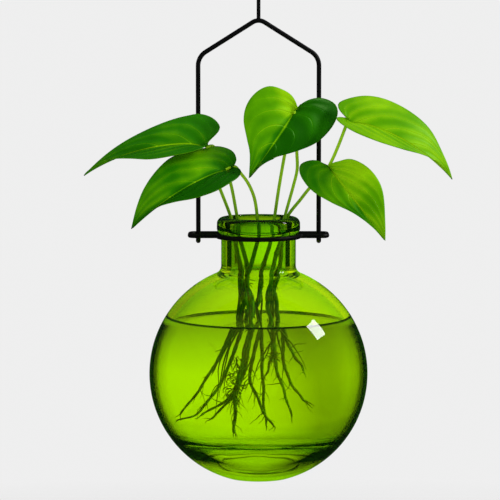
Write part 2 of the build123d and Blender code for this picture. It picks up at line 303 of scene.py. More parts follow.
glass_colours = {
    "thin": (0.68, 0.95, 0.003, 1),
    "thick": (0.75, 0.98, 0.006, 1),
    "neck": (0.56, 0.92, 0.004, 1),
    "lip": (0.42, 0.84, 0.004, 1),
    "underside": (0.9, 1.0, 0.008, 1),
    # painted light, paler where the surface above the water turns away
    "painted_grazing_light": (0.42, 1.0, 0.02, 1),
    # painted shade, darker green at the neck's edges
    "painted_neck_shade": (0.03, 0.20, 0.0, 1),
    # painted shade for the edges that turn away
    "dark": (0.0001, 0.0012, 0.0, 1),
    # milk and glow: painted light that lifts the blackest edges
    "milk": (0.05, 0.34, 0.0, 1),
    "glow": (0.38, 0.95, 0.0, 1),
    "shadow": (0.55, 0.85, 0.10, 1),
    "depth": (0.965, 0.985, 0.0, 1),
}

# Effects in the glass by how far its surface turns away: stops of (turn, strength), both 0 to 1
# The dark stops paint shade onto the edges; the grazing and glow stops paint light
glass_turn_shares = {
    "wet_dark": ((0.44, 0), (0.58, 0.5), (0.65, 0.95), (0.74, 1.0)),
    "underside_dark": ((0.84, 0), (1.0, 0.8)),
    "floor_edge_dark": ((0.43, 0), (0.53, 1.0)),
    "dry_dark": ((0.86, 0), (0.97, 0.6), (1.0, 0.9)),
    "neck_dark": ((0.28, 0), (0.32, 1.0), (0.46, 1.0), (0.50, 0)),
    "lip_dark": ((0.22, 0.1), (0.27, 1.0), (0.38, 1.0), (0.46, 0)),
    "painted_neck_shade": ((0.46, 0), (0.52, 0.9), (0.9, 1.0)),
    "painted_grazing_light": ((0.45, 0), (0.85, 1.0)),
    "bend_glow": ((0.62, 0), (0.85, 1.0)),
    "underside_glow": ((0.45, 0), (0.70, 1.0)),
    "milk": ((0.0, 0.02), (0.8, 0.03), (1.0, 0.16)),
}


def make_glass():
    """Green bottle glass, deeper in colour at the neck, with painted shade along its edges where glass
    bends light away.
    """
    material, tree = new_material("green_glass")
    place = object_coordinates(tree)
    level = height_in(tree, place)
    facing = add(tree, "ShaderNodeLayerWeight", Blend=0.5).outputs["Facing"]
    turned = {part: grey_ramp(tree, facing, stops) for part, stops in glass_turn_shares.items()}
    ripples = noise(tree, place, scale=22.0, detail=1.0)
    zones = {part: zone(tree, level, *limits) for part, limits in glass_zones.items()}

    # Colour by height, then painted light and shade where the surface turns away
    tint = blend(tree, ripples, glass_colours["thin"], glass_colours["thick"])
    places = {
        "neck": zones["in_neck"],
        "lip": zones["in_lip"],
        "underside": zones["underneath"],
        "painted_grazing_light": times(tree, turned["painted_grazing_light"], zones["in_air"]),
        "painted_neck_shade": times(tree, turned["painted_neck_shade"], zones["in_neck"]),
    }
    for part, share in places.items():
        tint = blend(tree, share, tint, glass_colours[part])

    # Painted shade on the edges, each zone with its own, on the outside only
    beside_floor = times(tree, zones["in_bowl"], zones["below_floor_edge"])
    dry_dark = times(tree, turned["dry_dark"], zones["below_shoulder"])
    dark = blend(tree, zones["in_bowl"], turned["underside_dark"], turned["wet_dark"])
    dark = blend(tree, beside_floor, dark, turned["floor_edge_dark"])
    dark = blend(tree, zones["in_air"], dark, dry_dark)
    dark = blend(tree, zones["in_neck"], dark, turned["neck_dark"])
    dark = blend(tree, zones["in_lip"], dark, turned["lip_dark"])
    outside = zone(tree, from_bowl_centre(tree, place), *outside_zone)
    tint = blend(tree, times(tree, dark, outside), tint, glass_colours["dark"])

    # Relief: long ripples, faint seed marks, and waves in the thick base
    seed_marks = noise(tree, place, scale=150.0, detail=2.0)
    in_base = times(tree, zones["in_base"], zones["in_bowl"])
    waves = times(tree, noise(tree, place, scale=60.0, detail=1.0), in_base)
    height = add_share(tree, ripples, seed_marks, share=0.02)
    height = add_share(tree, height, waves, share=4.0)
    relief = bump(tree, height, strength=0.2, relief=glass_relief)
    looks = {"Base_Color": tint, "Roughness": 0.0, "Normal": relief}
    glass = principled(tree, IOR=1.5, Transmission_Weight=1.0, **looks)

    # A little milky diffuse paints light onto the blackest edges, more so, and in a brighter green, at
    # the shoulder's bend and underneath
    in_bend = times(tree, zones["over_bend"], zones["under_neck"])
    bend_glow = times(tree, in_bend, turned["bend_glow"])
    underside_glow = times(tree, zones["underneath"], turned["underside_glow"])
    glow = math_node(tree, "MAXIMUM", bend_glow, underside_glow)
    milk_colour = blend(tree, glow, glass_colours["milk"], glass_colours["glow"])
    milk = add(tree, "ShaderNodeBsdfDiffuse", Color=milk_colour).outputs[0]
    milkiness = add_share(tree, turned["milk"], glow, share=0.45)
    body = mix_shaders(tree, milkiness, glass, milk)
    output = surface(tree, clear_to_shadows(tree, body, glass_colours["shadow"]))
    depth = add(tree, "ShaderNodeVolumeAbsorption", Color=glass_colours["depth"], Density=300.0)
    tree.links.new(depth.outputs[0], output.inputs["Volume"])
    return material


water_colours = {
    "calm": (0.95, 1.0, 0.93, 1),
    "swirl": (0.98, 1.0, 0.95, 1),
    # painted shade: a dark line where the water meets the glass
    "waterline_shade": (0.002, 0.012, 0.0, 1),
    "shadow": (0.97, 1.0, 0.95, 1),
}


def make_water():
    """Clear water with a faint green cast, slight swirls, and a dark line of painted shade where it meets
    the glass.
    """
    material, tree = new_material("water")
    place = object_coordinates(tree)
    swirls = noise(tree, place, scale=30.0, detail=2.0)
    tint = blend(tree, swirls, water_colours["calm"], water_colours["swirl"])
    on_top = zone(tree, height_in(tree, place), *waterline_shade_zone)
    at_wall = zone(tree, from_bowl_centre(tree, place), *wall_zone)
    from_above = minus(tree, 1.0, back_of_surface(tree))
    waterline_shade = times(tree, times(tree, on_top, at_wall), from_above)
    tint = blend(tree, waterline_shade, tint, water_colours["waterline_shade"])
    body = principled(tree, Base_Color=tint, Roughness=0.0, IOR=1.33, Transmission_Weight=1.0)
    surface(tree, clear_to_shadows(tree, body, water_colours["shadow"]))
    return material


# The leaf pattern's sizes, in shares of a leaf's length, of its half width or of a vein's field
rib_end_share = 1.25
rib_width_share = 0.055
vein_wobble_share = 0.16
vein_width_share = 0.05
edge_start_share = 0.975
vein_arch_power = 1.25
edge_sharpness = 40.0
leaf_relief_shares = {"Rib": -0.8, "Veins": -0.3, "Quilt": 0.45, "Grain": 0.03}

# How much the parts of the pattern lighten a leaf, with the rib last because it closes the sum,
# the quilt's share being painted shade in the middle of each field between the veins; how far its
# edge and back change its tone, and how much light shines through it
leaf_light_shares = {"Quilt": 0.18, "Veins": 0.24, "Rib": 0.75}
leaf_change_share = 0.4
leaf_glow_share = 0.6
leaf_through_share = 0.16


def make_leaf_pattern():
    """A node group for all leaves: midrib, arched side veins, swollen fields, mottling and edge.

    The leaf's UV map runs from notch to tip along U and from edge to edge across V."""
    group = bpy.data.node_groups.new("leaf_pattern", "ShaderNodeTree")
    for label in ("Vein Count", "Vein Sweep"):
        group.interface.new_socket(label, in_out="INPUT", socket_type="NodeSocketFloat")
    for label in ("Along", "Across", "Rib", "Veins", "Quilt", "Mottle", "Edge", "Height"):
        group.interface.new_socket(label, in_out="OUTPUT", socket_type="NodeSocketFloat")
    given = add(group, "NodeGroupInput").outputs
    place = object_coordinates(group)
    uv = add(group, "ShaderNodeUVMap", {"uv_map": "leaf"}).outputs[0]
    along, across, _ = add(group, "ShaderNodeSeparateXYZ", in_0=uv).outputs
    off_middle = math_node(group, "ABSOLUTE", minus(group, across, 0.5))
    out = times(group, off_middle, 2.0, clamp=True)

    rib_width = times(group, minus(group, rib_end_share, along), rib_width_share)
    rib = minus(group, 1.0, math_node(group, "DIVIDE", out, rib_width), clamp=True)

    swept = times(group, math_node(group, "POWER", out, vein_arch_power), given["Vein Sweep"])
    phase = minus(group, math_node(group, "ADD", along, 1.0), swept)
    phase = add_share(group, phase, noise(group, place, scale=30.0, detail=2.0), vein_wobble_share)
    cycle = math_node(group, "FRACT", times(group, phase, given["Vein Count"]))
    from_vein = math_node(group, "ABSOLUTE", minus(group, cycle, 0.5))
    line = minus(group, 1.0, math_node(group, "DIVIDE", from_vein, vein_width_share), clamp=True)
    fade_out = minus(group, 1.0, math_node(group, "POWER", out, 2.0), clamp=True)
    swell = math_node(group, "COSINE", times(group, cycle, 2 * pi))
    parts = {
        "Rib": rib,
        "Veins": times(group, line, fade_out),
        "Quilt": times(group, times(group, swell, -0.5), fade_out),
        "Grain": noise(group, place, scale=700.0, detail=2.0),
    }
    height = 0.0
    for part, share in leaf_relief_shares.items():
        height = add_share(group, height, parts[part], share)
    add(
        group,
        "NodeGroupOutput",
        Along=along,
        Across=across,
        Rib=rib,
        Veins=parts["Veins"],
        Quilt=parts["Quilt"],
        Mottle=noise(group, place, scale=45.0),
        Edge=times(group, minus(group, out, edge_start_share), edge_sharpness, clamp=True),
        Height=height,
    )
    return group


leaf_colours = {
    "edge": (0.20, 0.50, 0.01, 1),
    "back": (0.16, 0.42, 0.03, 1),
    "gloss": (0.30, 0.90, 0.05, 1),
    "glow": (0.25, 0.85, 0.0, 1),
}
leaf_tones = [
    (0.0, (0.006, 0.105, 0.0, 1)),
    (0.35, (0.022, 0.21, 0.0, 1)),
    (0.7, (0.125, 0.43, 0.0, 1)),
    (1.0, (0.33, 0.70, 0.003, 1)),
]


def make_leaf_material(name, leaf, leaf_pattern):
    """A glossy leaf: one half and one end lighter than the other as painted light, with a pale midrib and
    veins.
    """
    material, tree = new_material(name)
    pattern = add(
        tree,
        "ShaderNodeGroup",
        {"node_tree": leaf_pattern},
        Vein_Count=leaf["vein_count"],
        Vein_Sweep=leaf["vein_sweep_share"],
    ).outputs
    # Painted light: one half of the leaf, and a stretch along it, lighter as if lit
    near_share, far_share = leaf["painted_light_shares"]
    low_share, high_share, end_share = leaf["painted_light_reach_shares"]
    half = remap(tree, pattern["Across"], far_share, near_share, source=(0.42, 0.52))
    reach_shares = ((0.0, low_share), (0.35, high_share), (1.0, end_share))
    light = times(tree, half, grey_ramp(tree, pattern["Along"], reach_shares))
    light = math_node(tree, "ADD", light, minus(tree, pattern["Mottle"], 0.5))
    for part, share in leaf_light_shares.items():
        light = add_share(tree, light, pattern[part], share, clamp=part == "Rib")
    tone = ramp(tree, light, leaf_tones)
    for mask, part in ((pattern["Edge"], "edge"), (back_of_surface(tree), "back")):
        tone = blend(tree, times(tree, mask, leaf_change_share), tone, leaf_colours[part])
    skin = principled(
        tree,
        Base_Color=tone,
        Roughness=remap(tree, pattern["Mottle"], low=0.30, high=0.42),
        Normal=bump(tree, pattern["Height"], strength=0.7, relief=leaf_relief),
        Specular_IOR_Level=0.32,
        Specular_Tint=leaf_colours["gloss"],
    )
    glow = blend(tree, leaf_glow_share, tone, leaf_colours["glow"])
    through = add(tree, "ShaderNodeBsdfTranslucent", Color=glow).outputs[0]
    surface(tree, mix_shaders(tree, leaf_through_share, skin, through))
    return material


def make_stem_material():
    """Pale green above the glass, darker and browner down towards the bottom of the bowl, with lighter
    streaks of painted highlight.
    """
    material, tree = new_material("stem_green")
    place = object_coordinates(tree)
    rise = zone(tree, height_in(tree, place), 0, bowl_height, pale_stem_height)
    wet_share = (waterline - bowl_height) / (pale_stem_height - bowl_height)
    tones = [
        (0.0, (0.045, 0.05, 0.01, 1)),
        (wet_share, (0.03, 0.07, 0.008, 1)),
        (0.55, (0.03, 0.12, 0.008, 1)),
        (0.66, (0.07, 0.22, 0.01, 1)),
        (0.80, (0.19, 0.46, 0.01, 1)),
        (1.0, (0.40, 0.76, 0.01, 1)),
    ]
    fibres = stretched_noise(tree, place, (900.0, 900.0, 60.0), 3.0)
    # Lighter streaks along the stems are painted highlights
    painted_highlight_streaks = stretched_noise(tree, place, (280.0, 280.0, 35.0), 2.0)
    painted_highlight_streaks = grey_ramp(tree, painted_highlight_streaks, ((0.54, 0), (0.66, 0.7)))
    tone = ramp(tree, rise, tones)
    tone = blend(tree, times(tree, fibres, 0.35), tone, (0.03, 0.10, 0.01, 1))
    tone = blend(tree, painted_highlight_streaks, tone, (0.30, 0.62, 0.01, 1))
    shader = principled(
        tree,
        Base_Color=tone,
        Roughness=remap(tree, fibres, low=0.35, high=0.55),
        Normal=bump(tree, fibres, strength=0.3, relief=stem_relief),
        Specular_Tint=(0.4, 1.0, 0.15, 1),
    )
    surface(tree, shader)
    return material


def make_root_material():
    """Green roots that are darker at the top and paler at their young ends, with brown patches."""
    material, tree = new_material("root_brown")
    place = object_coordinates(tree)
    rise = zone(tree, height_in(tree, place), 0, young_root_height, waterline)
    tones = [
        (0.0, (0.17, 0.22, 0.03, 1)),
        (0.45, (0.06, 0.17, 0.015, 1)),
        (1.0, (0.03, 0.075, 0.01, 1)),
    ]
    patches = noise(tree, place, scale=240.0, detail=4.0, roughness=0.65)
    brown = grey_ramp(tree, patches, ((0.42, 0), (0.62, 0.8)))
    grain = noise(tree, place, scale=1500.0, detail=2.0)
    tone = blend(tree, brown, ramp(tree, rise, tones), (0.06, 0.035, 0.01, 1))
    relief = bump(tree, grain, strength=0.4, relief=root_relief)
    surface(tree, principled(tree, Base_Color=tone, Roughness=0.6, Normal=relief))
    return material


materials = {
    "black_wire": make_black_wire(),
    "green_glass": make_glass(),
    "water": make_water(),
    "stem_green": make_stem_material(),
    "root_brown": make_root_material(),
}


# Pieces


def place_object(name, data):
    thing = bpy.data.objects.new(name, data)
    scene.collection.objects.link(thing)
    return thing


def finish_piece(bm, name, slot, node, material=None):
    """Turns a bmesh in millimetres into a piece at its place, which stands for a CAD node."""
    bmesh.ops.transform(bm, matrix=in_frame, verts=bm.verts)
    mesh = bpy.data.meshes.new(name)
    bm.to_mesh(mesh)
    bm.free()
    mesh.shade_smooth()
    piece = place_object(name, mesh)
    piece.data.materials.append(material or materials[slot])
    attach(piece, "vase")
    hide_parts(node)
    return piece


class Profile:
    """A half section drawn as a line of vertices in the XZ plane, by extruding and spinning."""

    def __init__(self, radius, height):
        self.bm = bmesh.new()
        self.end = bmesh.ops.create_vert(self.bm, co=(radius, 0, height))["vert"][0]

    def line(self, radius, height, steps=1):
        target = Vector((radius, 0, height))
        step = (target - self.end.co) / steps
        for _ in range(steps):
            self.end = bmesh.ops.extrude_vert_indiv(self.bm, verts=[self.end])["verts"][0]
            bmesh.ops.translate(self.bm, verts=[self.end], vec=step)

    def arc(self, centre, turn, steps):
        """Turns on about a centre. A positive turn runs anticlockwise with +X right and +Z up."""
        settings = {"cent": (centre[0], 0, centre[1]), "axis": (0, -1, 0), "angle": turn, "steps": steps}
        made = bmesh.ops.spin(self.bm, geom=[self.end], use_duplicate=False, **settings)
        self.end = [item for item in made["geom_last"] if isinstance(item, bmesh.types.BMVert)][0]

    def turned(self, steps=160):
        """Spins the section about the upright axis and closes it."""
        settings = {"cent": (0, 0, 0), "axis": (0, 0, 1), "angle": 2 * pi, "steps": steps}
        section = self.bm.verts[:] + self.bm.edges[:]
        bmesh.ops.spin(self.bm, geom=section, use_merge=True, use_duplicate=False, **settings)
        bmesh.ops.remove_doubles(self.bm, verts=self.bm.verts, dist=seam_gap)
        bmesh.ops.recalc_face_normals(self.bm, faces=self.bm.faces)
        return self.bm


def turn_to(centre, start, end):
    """The angle from start to end about a centre, all given as radius and height."""
    first = atan2(start[1] - centre[1], start[0] - centre[0])
    last = atan2(end[1] - centre[1], end[0] - centre[0])
    turn = last - first
    return (turn + pi) % (2 * pi) - pi


def shoulder_points(ball_radius, throat_radius, bend):
    """Centre of the bend between a ball and a throat above it, and where it meets the ball."""
    across = throat_radius + bend
    rise = sqrt((ball_radius + bend) ** 2 - across**2)
    share = ball_radius / (ball_radius + bend)
    return (across, bowl_z + rise), (across * share, bowl_z + rise * share)


def floor_points(ball_radius, floor, bend):
    """Centre of the bend between the ball and its flat floor, and where it meets the ball."""
    rise = floor + bend - bowl_z
    across = sqrt((ball_radius - bend) ** 2 - rise**2)
    share = ball_radius / (ball_radius - bend)
    return (across, floor + bend), (across * share, bowl_z + rise * share)


def make_glass_piece():
    """The bottle's wall, drawn from the foot up the outside, over the lip and down the inside."""
    ball = (0, bowl_z)
    section = Profile(0, foot_z + foot_recess_depth)
    section.line(foot_recess_radius - foot_recess_slope, foot_z + foot_recess_depth, steps=6)
    section.line(foot_recess_radius, foot_z + foot_edge_rise, steps=2)
    section.line(foot_recess_radius + foot_edge_width, foot_z)
    heel, heel_end = floor_points(bowl_radius, foot_z, foot_bend)
    section.line(heel[0], foot_z, steps=3)
    section.arc(heel, turn_to(heel, (heel[0], foot_z), heel_end), steps=5)
    bend, bend_start = shoulder_points(bowl_radius, neck_radius, shoulder_bend)
    section.arc(ball, turn_to(ball, heel_end, bend_start), steps=72)
    section.arc(bend, turn_to(bend, bend_start, (neck_radius, bend[1])), steps=12)
    section.line(neck_radius, lip_underside, steps=8)
    under = (lip_radius - lip_under_bend, lip_underside + lip_under_bend)
    section.arc(under, turn_to(under, (neck_radius, lip_underside), (lip_radius, under[1])), steps=10)
    section.line(lip_radius, lip_height - lip_crest_bend, steps=2)
    crest = lip_radius - lip_crest_bend
    section.arc((crest, lip_height - lip_crest_bend), pi / 2, steps=12)
    section.arc((crest, lip_height - lip_inner_bend), pi / 2, steps=6)
    section.line(bore_radius + mouth_flare, lip_height - mouth_flare_start, steps=2)
    section.line(bore_radius, lip_height - mouth_flare_end, steps=5)
    inner_bend, inner_start = shoulder_points(cavity_radius, bore_radius, shoulder_bend)
    section.line(bore_radius, inner_bend[1], steps=8)
    section.arc(inner_bend, turn_to(inner_bend, (bore_radius, inner_bend[1]), inner_start), steps=12)
    basin, basin_start = floor_points(cavity_radius, floor_z, floor_bend)
    section.arc(ball, turn_to(ball, inner_start, basin_start), steps=64)
    section.arc(basin, turn_to(basin, basin_start, (basin[0], floor_z)), steps=14)
    for ridge in floor_ridges:
        section.line(ridge + ridge_half_width, floor_z, steps=2)
        section.line(ridge, floor_z - ridge_height, steps=3)
        section.line(ridge - ridge_half_width, floor_z, steps=3)
    section.line(0, floor_z, steps=6)
    finish_piece(section.turned(), "green_glass_bottle", "green_glass", "glass_vase")


def make_water_piece():
    """Water that wets the glass and creeps up it a little, drawn from the floor up."""
    ball = (0, bowl_z)
    outer = cavity_radius + water_overlap
    bottom = floor_z - water_overlap
    section = Profile(0, bottom)
    basin, basin_end = floor_points(outer, bottom, floor_bend)
    section.line(basin[0], bottom, steps=8)
    section.arc(basin, turn_to(basin, (basin[0], bottom), basin_end), steps=12)
    edge_height = water_level + meniscus_rise
    edge_radius = sqrt(outer**2 - (edge_height - bowl_z) ** 2)
    section.arc(ball, turn_to(ball, basin_end, (edge_radius, edge_height)), steps=56)
    for share in meniscus_shares:
        drop = meniscus_rise * (1 - (1 - share) ** 2)
        section.line(edge_radius - meniscus_width * share - meniscus_edge, edge_height - drop)
    section.line(0, water_level, steps=14)
    finish_piece(section.turned(), "water_fill", "water", "water")


# A stretch of a line that is too short to divide by
no_length = 1e-9


def smooth_through(points, steps):
    """Points of a soft line through the given ones: a Catmull-Rom curve, steps a span."""
    ends = [points[0] * 2 - points[1]] + list(points) + [points[-1] * 2 - points[-2]]
    line = []
    for before, start, end, after in zip(ends, ends[1:], ends[2:], ends[3:]):
        for step in range(steps):
            t = step / steps
            line.append(
                (
                    start * 2
                    + (end - before) * t
                    + (before * 2 - start * 5 + end * 4 - after) * t**2
                    + (start * 3 - before - end * 3 + after) * t**3
                )
                / 2
            )
    return line + [points[-1]]


def even(line, count):
    """The same line with its points spaced evenly along its length."""
    lengths = [0.0]
    for first, second in zip(line, line[1:]):
        lengths.append(lengths[-1] + (second - first).length)
    spaced = []
    span = 0
    for number in range(count + 1):
        goal = lengths[-1] * number / count
        while span < len(line) - 2 and lengths[span + 1] < goal:
            span += 1
        stretch = max(lengths[span + 1] - lengths[span], no_length)
        spaced.append(line[span].lerp(line[span + 1], (goal - lengths[span]) / stretch))
    return spaced


# Leaves: seats and tips are shares of the spray's sizes, outlines are shares of the leaf's length
# Each leaf's lighter half and lighter stretch from notch to tip are painted light
leaves = {
    "leaf_upper_left": {
        "seat_share": (-0.274, -0.69, 0.75),
        "tip_share": (-0.90, -0.54, 0.50),
        "roll": -52,
        "droop_share": 1.14,
        "cup_share": 6.5,
        "painted_light_shares": (0.40, 0.30),
        "painted_light_reach_shares": (0.5, 1.0, 0.9),
        "vein_count": 3.6,
        "vein_sweep_share": 0.84,
        "fold_share": 0.05,
        "notch_share": (-0.01, -0.01),
        "near_side_shares": [
            (0.02, 0.07), (0.13, 0.14), (0.28, 0.17), (0.43, 0.155), (0.58, 0.09),
            (0.74, 0.01), (0.87, -0.015),
        ],
        "far_side_shares": [
            (-0.09, -0.10), (-0.12, -0.20), (-0.07, -0.30), (0.02, -0.335), (0.12, -0.30),
            (0.31, -0.23), (0.56, -0.15), (0.80, -0.07),
        ],
    },
    "leaf_lower_left": {
        "seat_share": (-0.173, -0.73, 0.57),
        "tip_share": (-0.647, -1.0, 0.128),
        "roll": -30,
        "droop_share": 1.1,
        "cup_share": 2.2,
        "painted_light_shares": (0.02, 0.72),
        "painted_light_reach_shares": (0.1, 1.0, 0.2),
        "vein_count": 3.8,
        "vein_sweep_share": 0.90,
        "fold_share": 0.045,
        "notch_share": (-0.06, 0.01),
        "near_side_shares": [
            (-0.11, 0.05), (-0.10, 0.10), (-0.03, 0.15), (0.11, 0.185), (0.24, 0.19),
            (0.42, 0.15), (0.57, 0.08), (0.71, 0.02), (0.85, -0.01),
        ],
        "far_side_shares": [
            (-0.14, -0.03), (-0.17, -0.14), (-0.10, -0.23), (0.01, -0.26), (0.14, -0.275),
            (0.33, -0.32), (0.51, -0.29), (0.70, -0.215), (0.85, -0.12),
        ],
    },
    "leaf_centre": {
        "seat_share": (0.19, -0.54, 0.99),
        "tip_share": (-0.05, -0.77, 0.49),
        "roll": 8,
        "droop_share": 2.2,
        "cup_share": 1.47,
        "painted_light_shares": (0.03, 0.75),
        "painted_light_reach_shares": (1.75, 0.85, 0.64),
        "vein_count": 4.0,
        "vein_sweep_share": 0.74,
        "fold_share": 0.1,
        "notch_share": (-0.02, 0.01),
        "near_side_shares": [
            (-0.13, 0.02), (-0.27, 0.11), (-0.36, 0.235), (-0.39, 0.38), (-0.31, 0.47),
            (-0.11, 0.49), (0.15, 0.43), (0.40, 0.28), (0.69, 0.06), (0.87, 0.01),
        ],
        "far_side_shares": [
            (-0.08, -0.06), (-0.115, -0.20), (-0.06, -0.405), (0.10, -0.505), (0.30, -0.52),
            (0.48, -0.45), (0.64, -0.30), (0.77, -0.165),
        ],
    },
    "leaf_upper_right": {
        "seat_share": (0.459, -0.58, 0.933),
        "tip_share": (1.0, -0.46, 0.466),
        "roll": 48,
        "droop_share": 1.1,
        "cup_share": 6.5,
        "painted_light_shares": (0.78, 0.82),
        "painted_light_reach_shares": (1.0, 1.0, 0.95),
        "vein_count": 3.9,
        "vein_sweep_share": 0.84,
        "fold_share": 0.05,
        "notch_share": (0.01, 0.0),
        "near_side_shares": [
            (-0.05, 0.03), (-0.10, 0.09), (-0.105, 0.16), (-0.02, 0.24), (0.09, 0.295), (0.24, 0.32),
            (0.43, 0.305), (0.65, 0.25), (0.83, 0.13), (0.93, 0.06),
        ],
        "far_side_shares": [
            (-0.06, -0.015), (-0.085, -0.05), (0.01, -0.125), (0.13, -0.165), (0.30, -0.175),
            (0.48, -0.13), (0.66, -0.05), (0.79, 0.0), (0.90, 0.015),
        ],
    },
    "leaf_lower_right": {
        "seat_share": (0.36, -0.60, 0.553),
        "tip_share": (0.646, -0.81, 0.023),
        "roll": 5,
        "droop_share": 1.34,
        "cup_share": 1.8,
        "painted_light_shares": (0.86, 0.52),
        "painted_light_reach_shares": (0.85, 1.0, 0.85),
        "vein_count": 3.7,
        "vein_sweep_share": 0.90,
        "fold_share": 0.07,
        "notch_share": (-0.01, 0.01),
        "near_side_shares": [
            (-0.03, 0.06), (0.0, 0.13), (0.07, 0.25), (0.24, 0.33), (0.43, 0.34), (0.61, 0.28),
            (0.86, 0.11),
        ],
        "far_side_shares": [
            (-0.08, -0.005), (-0.19, -0.07), (-0.25, -0.19), (-0.20, -0.26), (-0.08, -0.295),
            (0.10, -0.29), (0.33, -0.21), (0.555, -0.10), (0.78, -0.03),
        ],
    },
}


def spray_point(share):
    return Vector((share[0] * spray.x, share[1] * spray.y, share[2] * spray.z))


def leaf_frame(leaf):
    """The leaf's own axes: X from seat to tip, Z out of its upper face. Also its length."""
    seat = spray_point(leaf["seat_share"])
    chord = spray_point(leaf["tip_share"]) - seat
    along = chord.normalized()
    to_viewer = Vector((0, -1, 0))
    facing = (to_viewer - along * to_viewer.dot(along)).normalized()
    across = facing.cross(along)
    roll = radians(leaf["roll"])
    upper = facing * cos(roll) + across * sin(roll)
    side = upper.cross(along)
    turn = Matrix((along, side, upper)).transposed().to_4x4()
    return Matrix.Translation(seat) @ turn, chord.length


def make_leaf_piece(node, leaf, leaf_pattern):
    """A grid stretched from the midrib to both edges, bent to the leaf's droop and cup."""
    place, length = leaf_frame(leaf)
    droop = leaf["droop_share"] * length
    cup = leaf["cup_share"] * length
    fold = leaf["fold_share"] * length
    half_span = half_span_share * length
    crown = droop - sqrt(droop**2 - (length / 2) ** 2)
    sag_at_side = cup - sqrt(cup**2 - half_span**2)
    rows, columns = 48, 40

    def flat(shares):
        return [Vector((along, across, 0)) * length for along, across in shares]

    notch = flat([leaf["notch_share"]])
    tip = [Vector((length, 0, 0))]
    near = even(smooth_through(notch + flat(leaf["near_side_shares"]) + tip, 12), rows)
    far = even(smooth_through(notch + flat(leaf["far_side_shares"]) + tip, 12), rows)

    bm = bmesh.new()
    bmesh.ops.create_grid(bm, x_segments=rows, y_segments=columns, size=grid_half_size)
    uv_map = bm.loops.layers.uv.new("leaf")
    shares = {}
    for vert in bm.verts:
        shares[vert] = (vert.co.x + grid_half_size, vert.co.y + grid_half_size)
    for face in bm.faces:
        for loop in face.loops:
            loop[uv_map].uv = shares[loop.vert]
    for vert, (along, across) in shares.items():
        row = round(along * rows)
        middle = notch[0].lerp(tip[0], along**1.15)
        edge = near[row] if across > 0.5 else far[row]
        out = abs(across - 0.5) * 2
        point = middle.lerp(edge, out)
        sag = sag_at_side * (point.y / half_span) ** 2
        radius = droop - sag
        height = crown - droop + sqrt(radius**2 - (point.x - length / 2) ** 2)
        rise = fold * ((1 - (1 - out) ** 2) - fold_middle_share) * (1 - along**2)
        dip = notch_dip * exp(-(((point - notch[0]).length / notch_dip_reach) ** 2))
        wave = blade_wave * sin(along * 17 + across * 3) * out**3 * (1 - along)
        vert.co = Vector((point.x, point.y, height - blade_sink + rise - dip + wave))
    bmesh.ops.remove_doubles(bm, verts=bm.verts, dist=leaf_weld_gap)
    bmesh.ops.recalc_face_normals(bm, faces=bm.faces)
    if sum((face.normal * face.calc_area() for face in bm.faces), Vector()).z < 0:
        bmesh.ops.reverse_faces(bm, faces=bm.faces)
    bmesh.ops.transform(bm, matrix=place, verts=bm.verts)
    material = make_leaf_material(node, leaf, leaf_pattern)
    blade = finish_piece(bm, node.replace("leaf_", "blade_"), "leaf_green", node, material)
    body = blade.modifiers.new("thickness", "SOLIDIFY")
    body.thickness = blade_thickness * mm
    body.offset = -1.0


